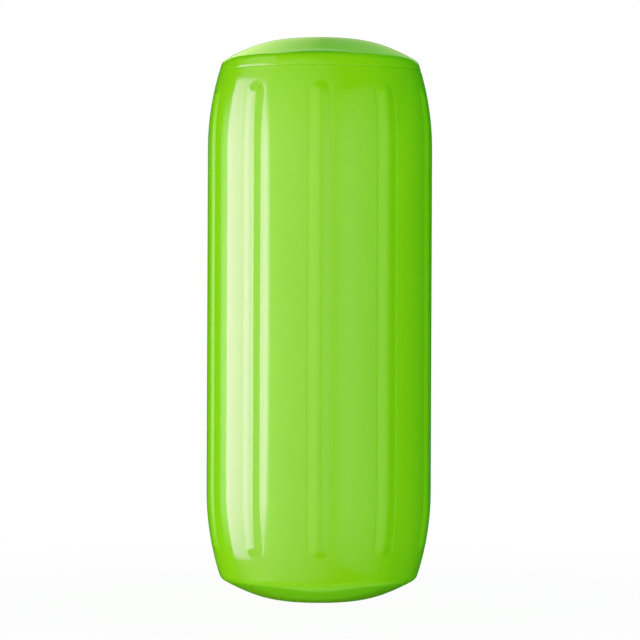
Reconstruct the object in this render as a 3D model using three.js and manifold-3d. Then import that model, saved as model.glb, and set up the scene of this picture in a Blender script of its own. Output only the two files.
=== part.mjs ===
// Inflatable boat fender: a ribbed vinyl barrel with domed ends, a rope hole moulded through
// the middle and a rubber inflation valve set into the upper dome.
// Millimetres, +Z up along the rope hole. The origin is the centre of the lower rest ring.

import * as THREE from "three";
import { mergeVertices } from "three/addons/utils/BufferGeometryUtils.js";
import Module from "manifold-3d";

// Barrel, measured between its ribs
const barrelDiameter = 203.2;
const overallLength = 508;

// Rope hole, its rounded mouth and the flat ring round the mouth that the fender rests on
const ropeHoleDiameter = 22;
const mouthRadius = 8.5;
const restRingWidth = 3;

// Each end, from the rest ring outward: a crown arc, a flatter dome arc, a tight shoulder arc
// and a long ease into the straight barrel. Slopes are in degrees below level.
const crownRadius = 110;
const crownEndSlope = 22.5;
const domeEndSlope = 29.3;
const shoulderRadius = 9.2;
const shoulderEndSlope = 72.1;
const easeRadius = 245;

// Ribs: long low ridges with round ends, evenly spaced round the barrel. The shape is the power
// by which a rib falls from its crest to its foot: 1 is a straight roof, 2 is a round arch.
const ribCount = 10;
const ribWidth = 21;
const ribLength = 422;
const ribRise = 1.4;
const ribShape = 1.5;
const firstRibBearing = -90;

// Parting ledge where the mould's lid met the barrel, round the upper shoulder only
const ledgeBelowTop = 30.3;
const ledgeRecess = 0.4;
const ledgeLip = 0.5;
const ledgeCorner = 0.4;
const ledgeFade = 4;
const ledgeStep = 0.01;

// Inflation valve: a flanged rubber plug with a needle hole, pressed into a pocket in the dome
const valveFlangeDiameter = 15;
const valveFlangeThickness = 2.4;
const valveProud = 0.8;
const valveStemDiameter = 9;
const valveStemLength = 9;
const needleHoleDiameter = 1.8;
const needleHoleDepth = 6;
const valveFromAxis = 47;
const valveBearing = 60;
const valveClearance = 0.3;

// Fineness of the faceted surfaces
const columnsPerHalfRib = 3;
const columnsPerHalfLand = 3;
const endColumns = 60;
const mouthColumns = 40;
const crownSteps = 4;
const domeSteps = 2;
const shoulderSteps = 4;
const mouthSteps = 4;
const easeSteps = 5;
const valveColumns = 28;
const weldDistance = 1e-4;

const barrelRadius = barrelDiameter / 2;
const halfLength = overallLength / 2;
const ropeHoleRadius = ropeHoleDiameter / 2;
const restRingOuterRadius = ropeHoleRadius + mouthRadius + restRingWidth;
const halfRibWidth = ribWidth / 2;
const ribEndCentre = ribLength / 2 - halfRibWidth;

const radians = THREE.MathUtils.degToRad;
const levelReach = (radius, fromSlope, toSlope) =>
  radius * (Math.sin(radians(toSlope)) - Math.sin(radians(fromSlope)));

// The dome arc takes up whatever radius the other arcs of the end leave over.
const reachOfOtherArcs =
  levelReach(crownRadius, 0, crownEndSlope) +
  levelReach(shoulderRadius, domeEndSlope, shoulderEndSlope) +
  levelReach(easeRadius, shoulderEndSlope, 90);
const domeRadius =
  (barrelRadius - restRingOuterRadius - reachOfOtherArcs) / levelReach(1, crownEndSlope, domeEndSlope);

// Points along an arc that leaves (r, h) at one slope and ends at another, without its first point
function arcPoints(start, radius, fromSlope, toSlope, steps) {
  const centre = {
    r: start.r - radius * Math.sin(radians(fromSlope)),
    h: start.h - radius * Math.cos(radians(fromSlope)),
  };
  const points = [];
  for (let step = 1; step <= steps; step++) {
    const slope = radians(fromSlope + ((toSlope - fromSlope) * step) / steps);
    points.push({ r: centre.r + radius * Math.sin(slope), h: centre.h + radius * Math.cos(slope) });
  }
  return points;
}

// Heights are measured from the middle of the fender.
const mouthTop = { r: ropeHoleRadius, h: halfLength - mouthRadius };
const mouthPoints = [mouthTop, ...arcPoints(mouthTop, mouthRadius, -90, 0, mouthSteps)];
const restRingEdge = { r: restRingOuterRadius, h: halfLength };
const crownPoints = arcPoints(restRingEdge, crownRadius, 0, crownEndSlope, crownSteps);
const domePoints = arcPoints(crownPoints.at(-1), domeRadius, crownEndSlope, domeEndSlope, domeSteps);
const shoulderPoints = arcPoints(
  domePoints.at(-1), shoulderRadius, domeEndSlope, shoulderEndSlope, shoulderSteps);
const easeStart = shoulderPoints.at(-1).h - easeRadius * Math.cos(radians(shoulderEndSlope));

// Radius of the barrel and its ease at a height, without ribs and ledge
function wallRadius(h) {
  const past = Math.max(0, Math.abs(h) - easeStart);
  return barrelRadius - easeRadius + Math.sqrt(easeRadius ** 2 - past ** 2);
}

// How far the parting ledge pushes the wall in, above it, or out, below it
const ledgeHeight = halfLength - ledgeBelowTop;
function ledgeOffset(h) {
  if (h > ledgeHeight) {
    const past = (h - ledgeHeight) / ledgeFade;
    return -ledgeRecess * Math.max(0, 1 - past);
  }
  const past = (ledgeHeight - h) / ledgeFade;
  return ledgeLip * Math.max(0, 1 - past);
}

// Rise of a rib at a distance across it and a height: a low ridge with semicircular ends
function ribHeight(across, h) {
  const beyondEndCentre = Math.max(0, Math.abs(h) - ribEndCentre);
  const fromSpine = Math.hypot(across, beyondEndCentre) / halfRibWidth;
  return ribRise * Math.max(0, 1 - fromSpine ** ribShape);
}

// Columns of the barrel: across each rib, then across the plain land to the next one
const pitch = 360 / ribCount;
const halfRibAngle = THREE.MathUtils.radToDeg(halfRibWidth / barrelRadius);
function barrelColumns() {
  const offsets = [];
  for (let i = -columnsPerHalfRib; i <= columnsPerHalfRib; i++) {
    offsets.push((halfRibAngle * i) / columnsPerHalfRib);
  }
  const landAngle = pitch - 2 * halfRibAngle;
  for (let i = 1; i < 2 * columnsPerHalfLand; i++) {
    offsets.push(halfRibAngle + (landAngle * i) / (2 * columnsPerHalfLand));
  }
  const columns = [];
  for (let rib = 0; rib < ribCount; rib++) {
    for (const offset of offsets) {
      columns.push({ bearing: firstRibBearing + rib * pitch + offset, offset });
    }
  }
  return columns;
}

function evenColumns(count) {
  const bearingOf = (_, i) => ({ bearing: firstRibBearing + (360 * i) / count });
  return Array.from({ length: count }, bearingOf);
}

// Heights of the barrel's rings: along the ease, where the ribs' round ends cross the columns,
// and at the ledge
function barrelHeights() {
  const heights = [0];
  const easeEnd = shoulderPoints.at(-1).h;
  for (let i = 0; i <= easeSteps; i++) {
    const h = easeStart + ((ribEndCentre - easeStart) * i) / easeSteps;
    heights.push(h, -h);
  }
  for (let i = 0; i < columnsPerHalfRib; i++) {
    const across = (halfRibWidth * i) / columnsPerHalfRib;
    const h = ribEndCentre + Math.sqrt(halfRibWidth ** 2 - across ** 2);
    heights.push(h, -h);
  }
  heights.push(ledgeHeight - ledgeFade, ledgeHeight - ledgeCorner, ledgeHeight + ledgeStep);
  heights.push(-(ledgeHeight - ledgeFade), easeEnd, -easeEnd);
  return heights.sort((a, b) => a - b);
}

// A ring of points at one height, in order of bearing
function ring(columns, radiusAt, h) {
  return columns.map(({ bearing, offset }) => {
    const radius = radiusAt(offset, h);
    const angle = radians(bearing);
    const point = new THREE.Vector3(
      radius * Math.cos(angle), radius * Math.sin(angle), h + halfLength);
    return { bearing, point };
  });
}

const ribbedRadius = (offset, h) => {
  const across = offset <= pitch / 2 ? radians(offset) * barrelRadius : Infinity;
  return wallRadius(h) + ledgeOffset(h) + ribHeight(across, h);
};

// Joins each ring to the next and the last to the first, whatever their numbers of points
function skinRings(rings) {
  const positions = [];
  const starts = [];
  for (const points of rings) {
    starts.push(positions.length / 3);
    for (const { point } of points) positions.push(point.x, point.y, point.z);
  }
  const triangles = [];
  rings.forEach((lower, k) => {
    const next = (k + 1) % rings.length;
    const upper = rings[next];
    const bearingAt = (points, i) => points[i % points.length].bearing + (i >= points.length ? 360 : 0);
    const lowerIndex = (i) => starts[k] + (i % lower.length);
    const upperIndex = (j) => starts[next] + (j % upper.length);
    let i = 0;
    let j = 0;
    while (i < lower.length || j < upper.length) {
      const lowerNext = i < lower.length ? bearingAt(lower, i + 1) : Infinity;
      const upperNext = j < upper.length ? bearingAt(upper, j + 1) : Infinity;
      if (lowerNext <= upperNext) {
        triangles.push(lowerIndex(i), lowerIndex(i + 1), upperIndex(j));
        i++;
      } else {
        triangles.push(lowerIndex(i), upperIndex(j + 1), upperIndex(j));
        j++;
      }
    }
  });
  const geometry = new THREE.BufferGeometry();
  geometry.setAttribute("position", new THREE.Float32BufferAttribute(positions, 3));
  geometry.setIndex(triangles);
  return geometry;
}

// The moulded body: up the outside from the lower mouth to the upper one, and back down the hole
function bodyGeometry() {
  const mouth = evenColumns(mouthColumns);
  const end = evenColumns(endColumns);
  const barrel = barrelColumns();
  const plainRing = (columns, { r, h }) => ring(columns, () => r, h);
  const below = ({ r, h }) => ({ r, h: -h });

  const mouthRings = [...mouthPoints, restRingEdge];
  const endRings = [...crownPoints, ...domePoints, ...shoulderPoints.slice(0, -1)];
  const rings = [
    ...mouthRings.map((point) => plainRing(mouth, below(point))),
    ...endRings.map((point) => plainRing(end, below(point))),
    ...barrelHeights().map((h) => ring(barrel, ribbedRadius, h)),
    ...endRings.reverse().map((point) => plainRing(end, point)),
    ...mouthRings.reverse().map((point) => plainRing(mouth, point)),
  ];
  return skinRings(rings);
}

// Place on the crown arc where the valve sits, and the direction that the dome faces there
function valveSeat() {
  const slope = Math.asin((valveFromAxis - restRingOuterRadius) / crownRadius);
  const outward = new THREE.Vector3(1, 0, 0).applyAxisAngle(
    new THREE.Vector3(0, 0, 1), radians(valveBearing));
  const point = outward.clone().multiplyScalar(valveFromAxis);
  point.z = overallLength - crownRadius * (1 - Math.cos(slope));
  const facing = outward.clone().multiplyScalar(Math.sin(slope));
  facing.z = Math.cos(slope);
  const turn = new THREE.Quaternion().setFromUnitVectors(new THREE.Vector3(0, 0, 1), facing);
  return { point, turn };
}

// Turned about its own +Z, with z = 0 on the dome's surface
function turned(outline, columns) {
  const points = outline.map(([r, z]) => new THREE.Vector2(r, z));
  return new THREE.LatheGeometry(points, columns).rotateX(Math.PI / 2);
}

function valveGeometry() {
  const flange = valveFlangeDiameter / 2;
  const stem = valveStemDiameter / 2;
  const needle = needleHoleDiameter / 2;
  const underFlange = valveProud - valveFlangeThickness;
  const edge = valveProud / 2;
  return turned([
    [0, underFlange - valveStemLength],
    [stem, underFlange - valveStemLength],
    [stem, underFlange],
    [flange, underFlange],
    [flange, valveProud - edge],
    [flange - edge, valveProud],
    [needle, valveProud],
    [needle, valveProud - needleHoleDepth],
    [0, valveProud - needleHoleDepth],
  ], valveColumns);
}

// The pocket is the valve's outside grown by its clearance, open upward through the dome.
function valvePocketGeometry() {
  const flange = valveFlangeDiameter / 2 + valveClearance;
  const stem = valveStemDiameter / 2 + valveClearance;
  const seat = valveProud - valveFlangeThickness - valveClearance;
  const open = valveProud + valveFlangeDiameter;
  return turned([
    [0, seat - valveStemLength],
    [stem, seat - valveStemLength],
    [stem, seat],
    [flange, seat],
    [flange, open],
    [0, open],
  ], valveColumns);
}

const wasm = await Module();
wasm.setup();

function toSolid(geometry) {
  const bare = geometry.clone();
  bare.deleteAttribute("normal");
  bare.deleteAttribute("uv");
  const merged = mergeVertices(bare, weldDistance);
  return new wasm.Manifold(new wasm.Mesh({
    numProp: 3,
    vertProperties: new Float32Array(merged.attributes.position.array),
    triVerts: new Uint32Array(merged.index.array),
  }));
}

function toGeometry(solid) {
  const mesh = solid.getMesh();
  const geometry = new THREE.BufferGeometry();
  geometry.setAttribute("position", new THREE.BufferAttribute(mesh.vertProperties, 3));
  geometry.setIndex(new THREE.BufferAttribute(mesh.triVerts, 1));
  geometry.computeVertexNormals();
  return geometry;
}

const vinyl = new THREE.MeshStandardMaterial({ color: 0x8fd431, roughness: 0.22, metalness: 0 });
const rubber = new THREE.MeshStandardMaterial({ color: 0x1c1d1c, roughness: 0.6, metalness: 0 });

function fenderBody(seat) {
  const pocket = valvePocketGeometry().applyQuaternion(seat.turn).translate(...seat.point);
  const mesh = new THREE.Mesh(toGeometry(toSolid(bodyGeometry()).subtract(toSolid(pocket))), vinyl);
  mesh.name = "fender_body";
  return mesh;
}

function inflationValve(seat) {
  const mesh = new THREE.Mesh(valveGeometry(), rubber);
  mesh.name = "inflation_valve";
  mesh.position.copy(seat.point);
  mesh.quaternion.copy(seat.turn);
  return mesh;
}

const seat = valveSeat();
const fender = new THREE.Group();
fender.add(fenderBody(seat), inflationValve(seat));

export default fender;
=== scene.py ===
from math import asin, cos, hypot, pi, radians, sin, sqrt

import bmesh
import bpy
from mathutils import Matrix, Vector


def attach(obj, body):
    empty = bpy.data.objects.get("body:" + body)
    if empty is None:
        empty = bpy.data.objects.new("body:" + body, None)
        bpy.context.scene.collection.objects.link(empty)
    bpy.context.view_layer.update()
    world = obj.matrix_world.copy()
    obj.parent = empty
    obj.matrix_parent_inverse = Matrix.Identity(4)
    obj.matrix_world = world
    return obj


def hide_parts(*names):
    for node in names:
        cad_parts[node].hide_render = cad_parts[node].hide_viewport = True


# Boat fender, dressed for the studio. The skin is modelled from one rib's share of the moulding,
# which is rolled round the axis and repeated ten times. Metres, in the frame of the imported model.

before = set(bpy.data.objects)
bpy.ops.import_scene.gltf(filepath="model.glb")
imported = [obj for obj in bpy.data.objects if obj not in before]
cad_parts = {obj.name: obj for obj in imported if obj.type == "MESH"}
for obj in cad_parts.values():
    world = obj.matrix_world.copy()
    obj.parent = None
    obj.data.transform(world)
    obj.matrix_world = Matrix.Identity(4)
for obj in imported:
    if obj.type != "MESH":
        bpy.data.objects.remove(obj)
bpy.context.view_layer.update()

# Sizes of the moulding, as in the part
BARREL_RADIUS = 0.1016
LENGTH = 0.508
HALF_LENGTH = LENGTH / 2
ROPE_HOLE_RADIUS = 0.011
MOUTH_RADIUS = 0.0085
REST_RING_RADIUS = 0.0225
CROWN_RADIUS = 0.110
CROWN_END_SLOPE = 22.5
DOME_END_SLOPE = 29.3
SHOULDER_RADIUS = 0.0092
SHOULDER_END_SLOPE = 72.1
EASE_RADIUS = 0.245
RIB_COUNT = 10
RIB_WIDTH = 0.021
RIB_LENGTH = 0.422
RIB_RISE = 0.0014
LEDGE_HEIGHT = HALF_LENGTH - 0.0303

# Fine form that the part lacks or has harder: the crease round a rib, the parting ledge, its seam
CREASE_DEPTH = 0.00015
CREASE_WIDTH = 0.0008
CREASE_RUN_OUT = 0.006
LEDGE_LIP = 0.0001
LEDGE_RECESS = 0.0003
LEDGE_FADE = 0.003
SEAM_DEPTH = 0.0004
SEAM_HALF_WIDTH = 0.0006

# The valve, as in the part; its heights are counted from the skin
VALVE_FROM_AXIS = 0.047
VALVE_BEARING = 60
VALVE_RADIUS = 0.0075
VALVE_STEM_RADIUS = 0.0045
VALVE_STEM_END = -0.0106
VALVE_FLANGE_UNDERSIDE = -0.0016
VALVE_CLEARANCE = 0.0003
NEEDLE_HOLE_RADIUS = 0.0009
NEEDLE_HOLE_END = -0.0052
VALVE_COLUMNS = 64
POCKET_COLUMNS = 48
ABOVE_THE_SKIN = 0.02

# Shades of the two finishes
DEEP_LIME = (0.322, 0.680, 0.007, 1)
LIGHT_LIME = (0.340, 0.705, 0.010, 1)
DEEP_RUBBER = (0.010, 0.011, 0.010, 1)
LIGHT_RUBBER = (0.022, 0.023, 0.021, 1)

# The studio
CAMERA_PLACE = (0.0006, -2.75, HALF_LENGTH)
CAMERA_ROLL = -0.22
CAMERA_LENS = 170.6
FLOOR_REACH = 6
TENT_RADIUS = 5
LYING_CARD_HEIGHT = -0.25
PLAIN_WHITE = (1, 1, 1, 1)
FLOOR_GREY = (0.80, 0.80, 0.80, 1)
# Glow of the tent: a painted reflection, seen only in the gloss
TENT_GLOW_GREEN = (0.02, 0.12, 0.01, 1)
AMBIENT_GREEN = (0.12, 1, 0.3, 1)
AMBIENT_STRENGTH = 0.26


# Small helpers

def new_object(name, mesh):
    piece = bpy.data.objects.new(name, mesh)
    bpy.context.collection.objects.link(piece)
    return piece


def mesh_from(name, points, faces):
    mesh = bpy.data.meshes.new(name)
    mesh.from_pydata([tuple(point) for point in points], [], faces)
    mesh.update()
    return mesh


def weld(mesh, distance, outward=True):
    """Merges coinciding points and, unless told not to, turns the faces outward."""
    working = bmesh.new()
    working.from_mesh(mesh)
    bmesh.ops.remove_doubles(working, verts=working.verts, dist=distance)
    if outward:
        bmesh.ops.recalc_face_normals(working, faces=working.faces)
    working.to_mesh(mesh)
    working.free()


def smooth(mesh, sharp_above=42):
    mesh.polygons.foreach_set("use_smooth", [True] * len(mesh.polygons))
    mesh.set_sharp_from_angle(angle=radians(sharp_above))


def stitch(rows, closed=False):
    """Points and quads of a skin through equally long rows of points."""
    width = len(rows[0])
    points = [point for row in rows for point in row]
    faces = []
    for i in range(len(rows) if closed else len(rows) - 1):
        here, there = i * width, (i + 1) % len(rows) * width
        for j in range(width - 1):
            faces.append((here + j, here + j + 1, there + j + 1, there + j))
    return points, faces


def bake(piece):
    """Keeps what the piece's modifiers make as its plain mesh."""
    evaluated = piece.evaluated_get(bpy.context.evaluated_depsgraph_get())
    mesh = bpy.data.meshes.new_from_object(evaluated)
    piece.modifiers.clear()
    piece.data = mesh


class NodeBench:
    """Puts nodes in a tree and wires them, a number or a socket into each input."""

    def __init__(self, tree):
        self.tree = tree

    def add(self, kind, inputs=None, **settings):
        node = self.tree.nodes.new(kind)
        for key, value in settings.items():
            setattr(node, key, value)
        for key, value in (inputs or {}).items():
            self.feed(node.inputs[key], value)
        return node

    def feed(self, socket, value):
        if isinstance(value, bpy.types.NodeSocket):
            self.tree.links.new(value, socket)
        else:
            socket.default_value = value

    def math(self, operation, *values):
        return self.add("ShaderNodeMath", dict(enumerate(values)), operation=operation).outputs[0]

    def blend(self, share, first, second):
        """A colour between two. 0, 6 and 7 are the colour sockets of the Mix node, 2 its result."""
        mix = self.add("ShaderNodeMix", {0: share, 6: first, 7: second}, data_type="RGBA")
        return mix.outputs[2]

    def ramp(self, value, given, wanted, **settings):
        """Maps a value from one pair of ends to another."""
        return self.add("ShaderNodeMapRange", {
            "Value": value, "From Min": given[0], "From Max": given[1],
            "To Min": wanted[0], "To Max": wanted[1]}, **settings).outputs[0]


def empty_bench(owner):
    """Clears the nodes of a material, world or lamp and opens a bench on them."""
    owner.use_nodes = True
    owner.node_tree.nodes.clear()
    return NodeBench(owner.node_tree)


def new_material(name):
    material = bpy.data.materials.new(name)
    return material, empty_bench(material)


# The moulding's profile: radii, and heights from the fender's middle

def arc(start, radius, from_slope, to_slope, steps):
    """Points (r, h) along an arc from one slope below level to another, without the first."""
    centre_r = start[0] - radius * sin(radians(from_slope))
    centre_h = start[1] - radius * cos(radians(from_slope))
    turn = (to_slope - from_slope) / steps
    slopes = [radians(from_slope + turn * i) for i in range(1, steps + 1)]
    return [(centre_r + radius * sin(slope), centre_h + radius * cos(slope)) for slope in slopes]


def reach_out(radius, from_slope, to_slope):
    """How far an arc reaches away from the axis."""
    return radius * (sin(radians(to_slope)) - sin(radians(from_slope)))


# The dome's radius is what closes the profile between the rest ring and the barrel.
DOME_RADIUS = (
    BARREL_RADIUS - REST_RING_RADIUS
    - reach_out(CROWN_RADIUS, 0, CROWN_END_SLOPE)
    - reach_out(SHOULDER_RADIUS, DOME_END_SLOPE, SHOULDER_END_SLOPE)
    - reach_out(EASE_RADIUS, SHOULDER_END_SLOPE, 90)
) / reach_out(1, CROWN_END_SLOPE, DOME_END_SLOPE)

MOUTH = [(ROPE_HOLE_RADIUS, HALF_LENGTH - MOUTH_RADIUS)]
MOUTH += arc(MOUTH[0], MOUTH_RADIUS, -90, 0, steps=10)
CROWN = arc((REST_RING_RADIUS, HALF_LENGTH), CROWN_RADIUS, 0, CROWN_END_SLOPE, steps=12)
DOME = arc(CROWN[-1], DOME_RADIUS, CROWN_END_SLOPE, DOME_END_SLOPE, steps=8)
SHOULDER = arc(DOME[-1], SHOULDER_RADIUS, DOME_END_SLOPE, SHOULDER_END_SLOPE, steps=12)
EASE_START = SHOULDER[-1][1] - EASE_RADIUS * cos(radians(SHOULDER_END_SLOPE))
ROPE_TUBE = [(ROPE_HOLE_RADIUS, 0.16), (ROPE_HOLE_RADIUS, 0.08), (ROPE_HOLE_RADIUS, 0)]


def wall_radius(h):
    """Radius of the barrel and its ease at a height, with the parting ledge and its seam."""
    past = max(0.0, abs(h) - EASE_START)
    radius = BARREL_RADIUS - EASE_RADIUS + sqrt(EASE_RADIUS ** 2 - past ** 2)
    from_seam = (h - LEDGE_HEIGHT - SEAM_HALF_WIDTH) / SEAM_HALF_WIDTH
    radius -= SEAM_DEPTH * max(0.0, 1 - from_seam ** 2)
    if h > LEDGE_HEIGHT:
        return radius - LEDGE_RECESS * max(0.0, 1 - (h - LEDGE_HEIGHT) / LEDGE_FADE)
    return radius + LEDGE_LIP * max(0.0, 1 - (LEDGE_HEIGHT - h) / LEDGE_FADE)


# One rib's share of the skin, as a flat pattern: girth across, the wall's radius as depth, height

HALF_SHARE = pi * BARREL_RADIUS / RIB_COUNT
RIB_END = RIB_LENGTH / 2 - RIB_WIDTH / 2
SHARE_COLUMNS = 24
PANEL_TOP = 0.2172
ABOVE_PANEL = 0.2188
BARREL_RINGS = [0, 0.05, 0.1]
EASE_RINGS = 10
CORNER_RAYS = 5
BORDER_LOOPS = 5

# Distances of the mesh's loops from the rib's spine, close together at its foot, and the heights of
# its rings round the parting ledge, both in millimetres
RIB_LOOPS = [0, 1.6, 3.2, 4.8, 6.2, 7.3, 8.2, 8.9, 9.4, 9.8, 10.1, 10.35, 10.6, 10.85, 11.15, 11.5,
             12, 12.6]
LEDGE_RINGS = [-3.2, -2, -1, -0.4, 0, 0.04, 0.3, 0.6, 0.9, 1.2, 1.4, 2, 3]


def share_girth(j):
    return HALF_SHARE * (2 * j / SHARE_COLUMNS - 1)


def rib_rays():
    """Rays from the rib's spine out to the panel's border, once round the rib."""
    ease_step = (RIB_END - EASE_START) / (EASE_RINGS - 1)
    upper_sides = BARREL_RINGS + [EASE_START + ease_step * i for i in range(EASE_RINGS)]
    sides = [-h for h in reversed(upper_sides[1:])] + upper_sides
    corner_step = (PANEL_TOP - RIB_END) / (CORNER_RAYS + 1)
    corners = [RIB_END + corner_step * i for i in range(1, CORNER_RAYS + 1)]
    top, bottom = (0, RIB_END), (0, -RIB_END)

    rays = [((0, h), (HALF_SHARE, h)) for h in sides]
    rays += [(top, (HALF_SHARE, h)) for h in corners]
    rays += [(top, (share_girth(j), PANEL_TOP)) for j in range(SHARE_COLUMNS, -1, -1)]
    rays += [(top, (-HALF_SHARE, h)) for h in reversed(corners)]
    rays += [((0, h), (-HALF_SHARE, h)) for h in reversed(sides)]
    rays += [(bottom, (-HALF_SHARE, -h)) for h in corners]
    rays += [(bottom, (share_girth(j), -PANEL_TOP)) for j in range(SHARE_COLUMNS + 1)]
    rays += [(bottom, (HALF_SHARE, -h)) for h in reversed(corners)]
    return rays


def rib_panel():
    """The pattern of the rib and the land round it, up to the panel's border."""
    near = [0.001 * distance for distance in RIB_LOOPS]
    rows = []
    for (spine_g, spine_h), (border_g, border_h) in rib_rays():
        length = hypot(border_g - spine_g, border_h - spine_h)
        step = (length - near[-1]) / BORDER_LOOPS
        row = []
        for station in near + [near[-1] + step * i for i in range(1, BORDER_LOOPS + 1)]:
            g = spine_g + (border_g - spine_g) * station / length
            h = spine_h + (border_h - spine_h) * station / length
            row.append((g, -wall_radius(h), h))
        rows.append(row)
    return stitch(rows, closed=True)


def end_share(side):
    """The pattern from the panel's border over one end to the middle of the rope hole."""
    heights = [PANEL_TOP, ABOVE_PANEL] + [LEDGE_HEIGHT + 0.001 * ring for ring in LEDGE_RINGS]
    profile = [(wall_radius(side * h), h) for h in heights]
    profile += reversed(SHOULDER)
    profile += reversed(DOME[:-1])
    profile += reversed(CROWN)
    profile += [(REST_RING_RADIUS, HALF_LENGTH)]
    profile += reversed(MOUTH)
    profile += ROPE_TUBE
    return stitch([[(share_girth(j), -r, side * h) for j in range(SHARE_COLUMNS + 1)]
                   for r, h in profile])


def share_pattern():
    points, faces = [], []
    for part_points, part_faces in (rib_panel(), end_share(1), end_share(-1)):
        faces += [tuple(i + len(points) for i in face) for face in part_faces]
        points += part_points
    mesh = mesh_from("rib_share_pattern", points, faces)
    weld(mesh, 1e-6, outward=False)
    return mesh


# Raising the rib on the flat share, rolling the share and repeating it

def number_input(tree, name, value, whole=False):
    """Adds a named input to a tree and returns what sets it on the modifier."""
    kind = "NodeSocketInt" if whole else "NodeSocketFloat"
    socket = tree.interface.new_socket(name, in_out="INPUT", socket_type=kind)
    socket.default_value = value
    return socket.identifier, value


def rib_relief(bench, given, girth, height):
    """How far the skin stands out at a place: the rib's pillow less the crease round its foot."""
    math = bench.math
    half_width = given["Rib half width"]
    beyond = math("SUBTRACT", math("ABSOLUTE", height), given["Rib end height"])
    beyond = math("MAXIMUM", beyond, 0)
    from_spine = math("SQRT", math("ADD", math("MULTIPLY", girth, girth),
                                   math("MULTIPLY", beyond, beyond)))
    part_way = math("DIVIDE", from_spine, half_width)
    turn = math("MULTIPLY", math("MINIMUM", part_way, 1), pi)
    bell = math("MULTIPLY_ADD", math("COSINE", turn), 0.5, 0.5)
    pillow = math("MULTIPLY", math("ADD", given["Rib rise"], given["Crease depth"]), bell)

    from_foot = math("ABSOLUTE", math("SUBTRACT", from_spine, half_width))
    crease_depth = bench.ramp(beyond, (0, given["Crease run-out"]), (given["Crease depth"], 0),
                              interpolation_type="SMOOTHSTEP")
    crease = bench.ramp(from_foot, (0, given["Crease width"]), (1, 0),
                        interpolation_type="SMOOTHSTEP")
    inside_rib = math("LESS_THAN", part_way, 1)
    sunk = math("MULTIPLY", math("MAXIMUM", crease, inside_rib), crease_depth)
    return math("SUBTRACT", pillow, sunk)


def ribbed_skin_tree(finish):
    """Raises the rib on the flat share, rolls it round the axis and repeats it."""
    tree = bpy.data.node_groups.new("Ribbed skin", "GeometryNodeTree")
    tree.interface.new_socket("Share", in_out="INPUT", socket_type="NodeSocketGeometry")
    tree.interface.new_socket("Skin", in_out="OUTPUT", socket_type="NodeSocketGeometry")
    settings = dict([
        number_input(tree, "Ribs", RIB_COUNT, whole=True),
        number_input(tree, "Barrel radius", BARREL_RADIUS),
        number_input(tree, "Rib half width", RIB_WIDTH / 2),
        number_input(tree, "Rib end height", RIB_END),
        number_input(tree, "Rib rise", RIB_RISE),
        number_input(tree, "Crease depth", CREASE_DEPTH),
        number_input(tree, "Crease width", CREASE_WIDTH),
        number_input(tree, "Crease run-out", CREASE_RUN_OUT),
    ])
    bench = NodeBench(tree)
    math = bench.math
    given = bench.add("NodeGroupInput").outputs
    here = bench.add("GeometryNodeInputPosition").outputs[0]
    girth, minus_radius, height = bench.add("ShaderNodeSeparateXYZ", {0: here}).outputs

    radius = math("MULTIPLY", minus_radius, -1)
    on_barrel = math("GREATER_THAN", radius, math("MULTIPLY", given["Barrel radius"], 0.5))
    relief = math("MULTIPLY", rib_relief(bench, given, girth, height), on_barrel)
    ribbed_radius = math("ADD", radius, relief)
    angle = math("DIVIDE", girth, given["Barrel radius"])
    towards_viewer = math("MULTIPLY", math("COSINE", angle), -1)
    rolled = bench.add("ShaderNodeCombineXYZ", {
        "X": math("MULTIPLY", ribbed_radius, math("SINE", angle)),
        "Y": math("MULTIPLY", ribbed_radius, towards_viewer),
        "Z": math("ADD", height, HALF_LENGTH)}).outputs[0]
    share = bench.add("GeometryNodeSetPosition", {"Geometry": given["Share"], "Position": rolled})

    number = bench.add("GeometryNodeInputIndex").outputs[0]
    turn = math("DIVIDE", math("MULTIPLY", number, 2 * pi), given["Ribs"])
    turned = bench.add("ShaderNodeCombineXYZ", {"Z": turn}).outputs[0]
    hubs = bench.add("GeometryNodePoints", {"Count": given["Ribs"]})
    shares = bench.add("GeometryNodeInstanceOnPoints", {
        "Points": hubs.outputs[0], "Instance": share.outputs[0], "Rotation": turned})
    real = bench.add("GeometryNodeRealizeInstances", {0: shares.outputs[0]})
    joined = bench.add("GeometryNodeMergeByDistance", {
        "Geometry": real.outputs[0], "Distance": 1e-5})
    finished = bench.add("GeometryNodeSetMaterial", {
        "Geometry": joined.outputs[0], "Material": finish})
    bench.add("NodeGroupOutput", {"Skin": finished.outputs[0]})
    return tree, settings


def run_tree(piece, tree, settings):
    """Runs a tree on a piece and keeps the result as its plain mesh."""
    step = piece.modifiers.new(tree.name, "NODES")
    step.node_group = tree
    for identifier, value in settings.items():
        step[identifier] = value
    bake(piece)


# Finishes

def vinyl_finish():
    """Glossy soft vinyl: faint clouds, uneven polish, a slow wave and a fine peel."""
    finish, bench = new_material("lime_vinyl")
    here = bench.add("ShaderNodeTexCoord").outputs["Object"]

    def grain(scale, detail):
        return bench.add("ShaderNodeTexNoise", {
            "Vector": here, "Scale": scale, "Detail": detail}).outputs["Fac"]

    colour = bench.blend(grain(9, 2), DEEP_LIME, LIGHT_LIME)
    polish = bench.ramp(grain(38, 3), (0.3, 0.7), (0.08, 0.12))
    wave = bench.add("ShaderNodeBump", {
        "Height": grain(26, 1), "Strength": 1, "Distance": 0.00006})
    peel = bench.add("ShaderNodeBump", {
        "Height": grain(620, 2), "Strength": 0.6, "Distance": 0.000006,
        "Normal": wave.outputs[0]})
    shader = bench.add("ShaderNodeBsdfPrincipled", {
        "Base Color": colour, "Roughness": polish, "Normal": peel.outputs[0], "IOR": 1.5})
    bench.add("ShaderNodeOutputMaterial", {"Surface": shader.outputs[0]})
    return finish


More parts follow.
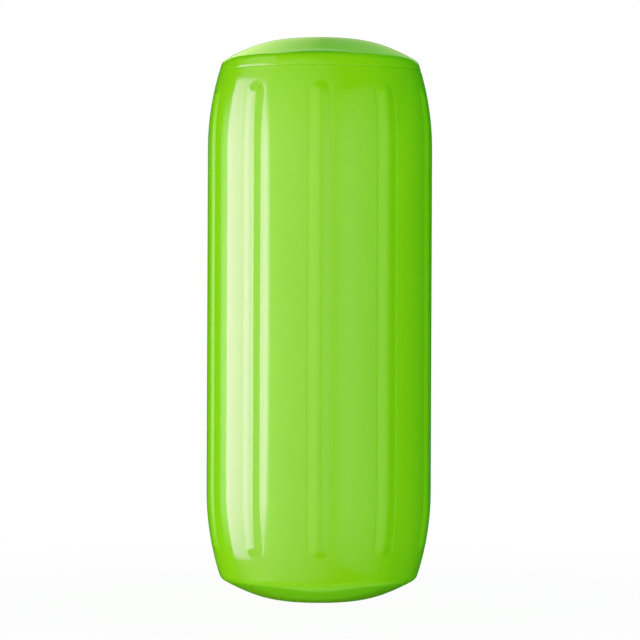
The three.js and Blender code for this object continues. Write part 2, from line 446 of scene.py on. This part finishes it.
def rubber_finish():
    """Satin black rubber with a fine tooth."""
    finish, bench = new_material("valve_rubber")
    here = bench.add("ShaderNodeTexCoord").outputs["Object"]
    speck = bench.add("ShaderNodeTexNoise", {
        "Vector": here, "Scale": 900, "Detail": 3}).outputs["Fac"]
    colour = bench.blend(speck, DEEP_RUBBER, LIGHT_RUBBER)
    rough = bench.ramp(speck, (0, 1), (0.42, 0.68))
    tooth = bench.add("ShaderNodeBump", {"Height": speck, "Strength": 0.5, "Distance": 0.00005})
    shader = bench.add("ShaderNodeBsdfPrincipled", {
        "Base Color": colour, "Roughness": rough, "Normal": tooth.outputs[0], "IOR": 1.52})
    bench.add("ShaderNodeOutputMaterial", {"Surface": shader.outputs[0]})
    return finish


# Pieces

def valve_seat():
    """Turns and moves from a valve standing on its own +Z to its place on the upper crown."""
    slope = asin((VALVE_FROM_AXIS - REST_RING_RADIUS) / CROWN_RADIUS)
    height = LENGTH - CROWN_RADIUS * (1 - cos(slope))
    return (Matrix.Rotation(radians(VALVE_BEARING), 4, "Z")
            @ Matrix.Translation((VALVE_FROM_AXIS, 0, height))
            @ Matrix.Rotation(slope, 4, "Y"))


def turned_piece(name, outline, columns):
    """A closed turned mesh in the valve's seat, from an outline between two points on its axis."""
    rows = []
    for i in range(columns):
        angle = 2 * pi * i / columns
        rows.append([(r * cos(angle), r * sin(angle), z) for r, z in outline])
    mesh = mesh_from(name, *stitch(rows, closed=True))
    weld(mesh, 1e-7)
    mesh.transform(valve_seat())
    return mesh


def pocket_cutter():
    """The room for the valve's flange and stem, with clearance all round."""
    flange = VALVE_RADIUS + VALVE_CLEARANCE
    stem = VALVE_STEM_RADIUS + VALVE_CLEARANCE
    step = VALVE_FLANGE_UNDERSIDE - VALVE_CLEARANCE
    end = VALVE_STEM_END - VALVE_CLEARANCE
    return turned_piece("valve_pocket_cutter", [
        (0, end), (stem, end), (stem, step), (flange, step), (flange, ABOVE_THE_SKIN),
        (0, ABOVE_THE_SKIN)], POCKET_COLUMNS)


def make_skin(finish):
    skin = new_object("fender_skin", share_pattern())
    tree, settings = ribbed_skin_tree(finish)
    run_tree(skin, tree, settings)
    weld(skin.data, 1e-6)

    cutter = new_object("valve_pocket_cutter", pocket_cutter())
    cut = skin.modifiers.new("valve pocket", "BOOLEAN")
    cut.operation = "DIFFERENCE"
    cut.solver = "EXACT"
    cut.object = cutter
    bake(skin)
    bpy.data.objects.remove(cutter)
    smooth(skin.data)
    return skin


def make_valve(finish):
    """The plug: its stem, the flange's rolled rim and dished face, and the needle hole."""
    mesh = turned_piece("valve_plug", [
        (0, VALVE_STEM_END), (0.0042, VALVE_STEM_END), (VALVE_STEM_RADIUS, -0.0103),
        (VALVE_STEM_RADIUS, -0.0018), (0.0047, VALVE_FLANGE_UNDERSIDE),
        (0.0073, VALVE_FLANGE_UNDERSIDE), (VALVE_RADIUS, -0.0014), (VALVE_RADIUS, 0.0001),
        (0.00735, 0.0004), (0.007, 0.0006), (0.0064, 0.0007), (0.0052, 0.0005),
        (0.0042, 0.0001), (0.0032, -0.0001), (0.0024, 0.0001), (0.0018, 0.0004),
        (0.0013, 0.0004), (0.001, 0.0002), (NEEDLE_HOLE_RADIUS, -0.0002),
        (NEEDLE_HOLE_RADIUS, NEEDLE_HOLE_END), (0, NEEDLE_HOLE_END)], VALVE_COLUMNS)
    plug = new_object("valve_plug", mesh)
    plug.data.materials.append(finish)
    smooth(plug.data, sharp_above=50)
    return plug


# Studio

def looked_at(bench):
    """1 where the camera looks, straight or by way of a mirror or glass, and 0 for lighting."""
    path = bench.add("ShaderNodeLightPath").outputs
    mirrored = bench.math("MAXIMUM", path["Is Glossy Ray"], path["Is Transmission Ray"])
    return bench.math("MAXIMUM", path["Is Camera Ray"], mirrored)


def floor_paper():
    """A pale matt paper, seen as nearly plain white, that keeps its shadows near the piece."""
    material, bench = new_material("floor_paper")
    matt = bench.add("ShaderNodeBsdfDiffuse", {"Color": FLOOR_GREY})
    white = bench.add("ShaderNodeEmission", {"Color": PLAIN_WHITE, "Strength": 1})
    here = bench.add("ShaderNodeTexCoord").outputs["Object"]
    away = bench.add("ShaderNodeVectorMath", {0: here}, operation="LENGTH").outputs["Value"]
    share = bench.ramp(away, (0.2, 0.8), (0.96, 1))
    seen = bench.math("MULTIPLY", looked_at(bench), share)
    mixed = bench.add("ShaderNodeMixShader", {0: seen, 1: matt.outputs[0], 2: white.outputs[0]})
    bench.add("ShaderNodeOutputMaterial", {"Surface": mixed.outputs[0]})
    return material


def stage_mesh(name, points, faces, material):
    part = new_object(name, mesh_from(name, points, faces))
    part.data.materials.append(material)
    return part


def glowing_green_tent():
    """A dark green glowing tent round everything, seen only in reflections: a painted reflection
    that tints the gloss green.
    """
    reflection_glow, bench = new_material("green_reflection_glow")
    # The emission paints a dark green reflection into the gloss; the tent is no lamp and no lit
    # cloth
    glow = bench.add("ShaderNodeEmission", {"Color": TENT_GLOW_GREEN, "Strength": 1})
    bench.add("ShaderNodeOutputMaterial", {"Surface": glow.outputs[0]})
    room = stage_mesh("glowing_dark_room", [], [], reflection_glow)
    tent = bmesh.new()
    bmesh.ops.create_uvsphere(tent, u_segments=48, v_segments=24, radius=TENT_RADIUS)
    bmesh.ops.reverse_faces(tent, faces=tent.faces)
    tent.to_mesh(room.data)
    tent.free()
    room.visible_camera = room.visible_diffuse = False
    room.visible_transmission = room.visible_shadow = False


def area_lamp(name, place, aim, size, radiance, colour):
    width, height = size
    lamp = bpy.data.lights.new(name, "AREA")
    lamp.shape = "RECTANGLE"
    lamp.size, lamp.size_y = width, height
    lamp.energy = radiance * pi * width * height
    lamp.color = colour
    box = bpy.data.objects.new(name, lamp)
    bpy.context.collection.objects.link(box)
    box.location = place
    box.rotation_mode = "QUATERNION"
    box.rotation_quaternion = (Vector(aim) - Vector(place)).to_track_quat("-Z", "Y")
    box.visible_camera = False
    return box


def softbox(name, place, size, radiance, colour):
    """A soft lamp that faces the fender's middle and lights the body colour only."""
    box = area_lamp(name, place, (0, 0, HALF_LENGTH), size, radiance, colour)
    box.visible_glossy = False


def mirror_card(name, place, aim, size, radiance, colour=(1, 1, 1), glow=(1, 1), soft=(0, 0),
                end_loss=0, reach=(1, 1), taper=(0, 0)):
    """A glowing card that is seen only as a reflection in the gloss.

    The pairs are for its two upright edges, the one at the smaller azimuth first: glow is the level
    there, soft the share of the width over which the edge fades, reach the share of the height that
    glows, and taper the share of the width by which the edge draws in at the card's ends. end_loss
    is what it loses towards its upper and lower end.
    """
    card = area_lamp(name, place, aim, size, radiance, colour)
    card.visible_diffuse = False
    bench = empty_bench(card.data)
    math = bench.math
    on_card = bench.add("ShaderNodeNewGeometry").outputs["Parametric"]
    across, along, _ = bench.add("ShaderNodeSeparateXYZ", {0: on_card}).outputs
    from_middle = math("ABSOLUTE", math("SUBTRACT", math("MULTIPLY", along, 2), 1))
    towards_end = math("MULTIPLY", from_middle, from_middle)

    level = bench.ramp(across, (0, 1), glow)
    for share, drawn_in, from_edge in zip(soft, taper, (across, math("SUBTRACT", 1, across))):
        if share:
            inside = math("SUBTRACT", from_edge, math("MULTIPLY", towards_end, drawn_in))
            edge = bench.ramp(inside, (0, share), (0, 1), interpolation_type="SMOOTHSTEP")
            level = math("MULTIPLY", level, edge)
    left_over = math("SUBTRACT", 1, math("MULTIPLY", towards_end, end_loss))
    level = math("MULTIPLY", level, left_over)
    glowing = math("LESS_THAN", from_middle, bench.ramp(across, (0, 1), reach))
    level = math("MULTIPLY", level, glowing)
    emission = bench.add("ShaderNodeEmission", {"Strength": level})
    bench.add("ShaderNodeOutputLight", {0: emission.outputs[0]})


def around(azimuth, distance, height):
    """A place round the fender; azimuth 0 is towards the camera and 90 to its right."""
    return (distance * sin(radians(azimuth)), -distance * cos(radians(azimuth)), height)


def body_lights():
    """Soft lights for the body colour, greener from the right and round about.

    In front they are warm, behind nearly neutral.
    """
    softbox("left_softbox", around(-85, 2.4, 0.1), (1.6, 1.8), 3.7, (0.72, 1, 0.9))
    softbox("front_softbox_left", around(-18, 2.6, 0), (1.8, 1.8), 4.5, (1, 0.65, 0.6))
    softbox("front_softbox_right", around(18, 2.6, 0), (1.8, 1.8), 2.0, (1, 0.85, 0.8))
    softbox("right_softbox", around(55, 2.4, 0.2), (1.6, 1.8), 1.6, (0.1, 1, 0.3))
    softbox("back_softbox", around(180, 3.4, 0.5), (0.8, 1.8), 14, (0.9, 1, 0.9))
    softbox("top_softbox", (0, -0.3, 2.0), (1.4, 1.4), 0.7, (0.15, 1, 0.3))
    softbox("light_table", (0, -0.3, -1.0), (1.6, 1.6), 0.65, (0.1, 1, 0.3))


def upright_card(name, azimuth, distance, middle, size, radiance, **shape):
    """A card that stands round the fender at the height of its own middle."""
    mirror_card(name, around(azimuth, distance, middle), (0, 0, middle), size, radiance, **shape)


def lying_card(name, depth, size, radiance, colour):
    """A card under the fender that faces up, at a depth into the picture."""
    mirror_card(name, (0, depth, LYING_CARD_HEIGHT), (0, depth, 0), size, radiance, colour=colour,
                soft=(0.35, 0.35))


def reflections():
    """What the gloss mirrors: the bright band, the veils beside it, the domes' own light."""
    upright_card("left_strip", -77.5, 1.2, 0.265, (1.3, 1.9), 8.4, colour=(0.97, 0.5, 1),
                 soft=(0, 0.08), end_loss=0.8, reach=(0.72, 0.82), taper=(0, 0.28))
    upright_card("left_tail", -112, 1.3, HALF_LENGTH, (0.25, 1.15), 1.0, glow=(1.0, 2.1),
                 end_loss=1)
    upright_card("left_veil", -17, 1.4, 0.12, (2.6, 3.0), 1.0, glow=(2.4, 0.2),
                 soft=(0.05, 0), end_loss=0.8)
    upright_card("right_veil", 48, 1.4, 0.12, (2.0, 1.94), 1.0, glow=(1.8, 0),
                 soft=(0.3, 0.3), end_loss=0.6)
    mirror_card("dome_card_left", (-0.3, 1.5, 1.58), (-0.3, 0, 1.58), (0.6, 1.54), 1.7,
                colour=(0.85, 1, 0.42), glow=(0.44, 1.4))
    mirror_card("dome_card_right", (0.35, 1.5, 1.58), (0.35, 0, 1.58), (0.7, 1.54), 1.7,
                colour=(0.8, 1, 0.42), glow=(0.55, 0.36))
    mirror_card("dome_card_edge", (-0.1, 1.5, 2.42), (-0.1, 0, 1.8), (1.2, 0.16), 1.2,
                colour=(0.85, 1, 0.85), glow=(0.7, 1.4))
    upright_card("left_high_veil", -87, 1.2, 1.43, (1.45, 0.92), 1.0, colour=(1, 0.6, 0.85),
                 glow=(0.5, 1.6), soft=(0.4, 0.08))
    upright_card("left_low_veil", -87, 1.2, -0.69, (1.45, 0.52), 1.0, colour=(1, 0.55, 0.9),
                 glow=(0.3, 1.7), soft=(0.5, 0.08))
    lying_card("table_glow", -0.0625, (1.1, 0.435), 1.35, (0.45, 1, 0.17))
    lying_card("table_rim", 0.255, (1.1, 0.2), 0.35, (0.05, 1, 0.02))


def studio_camera():
    lens = bpy.data.cameras.new("studio_camera")
    lens.sensor_width = 36
    lens.lens = CAMERA_LENS
    camera = bpy.data.objects.new("studio_camera", lens)
    bpy.context.collection.objects.link(camera)
    camera.location = CAMERA_PLACE
    camera.rotation_euler = (radians(90), radians(CAMERA_ROLL), 0)
    bpy.context.scene.camera = camera


def studio_floor():
    corners = [(-FLOOR_REACH, -FLOOR_REACH, 0), (FLOOR_REACH, -FLOOR_REACH, 0),
               (FLOOR_REACH, FLOOR_REACH, 0), (-FLOOR_REACH, FLOOR_REACH, 0)]
    floor = stage_mesh("studio_floor", corners, [(0, 1, 2, 3)], floor_paper())
    floor.visible_glossy = floor.visible_shadow = False


def studio_world():
    """Plain white to look at and a faint green to light with."""
    world = bpy.data.worlds.new("studio_world")
    bench = empty_bench(world)
    soft = bench.add("ShaderNodeBackground", {
        "Color": AMBIENT_GREEN, "Strength": AMBIENT_STRENGTH})
    white = bench.add("ShaderNodeBackground", {"Color": PLAIN_WHITE, "Strength": 1})
    mixed = bench.add("ShaderNodeMixShader", {
        0: looked_at(bench), 1: soft.outputs[0], 2: white.outputs[0]})
    bench.add("ShaderNodeOutputWorld", {"Surface": mixed.outputs[0]})
    bpy.context.scene.world = world


# Assembly

bpy.context.scene.view_settings.view_transform = "Standard"
studio_camera()
studio_floor()
studio_world()
glowing_green_tent()
body_lights()
reflections()

vinyl = vinyl_finish()
rubber = rubber_finish()

fender_skin = make_skin(vinyl)
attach(fender_skin, "root")
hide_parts("fender_body")

valve_plug = make_valve(rubber)
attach(valve_plug, "root")
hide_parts("inflation_valve")

bpy.context.view_layer.update()
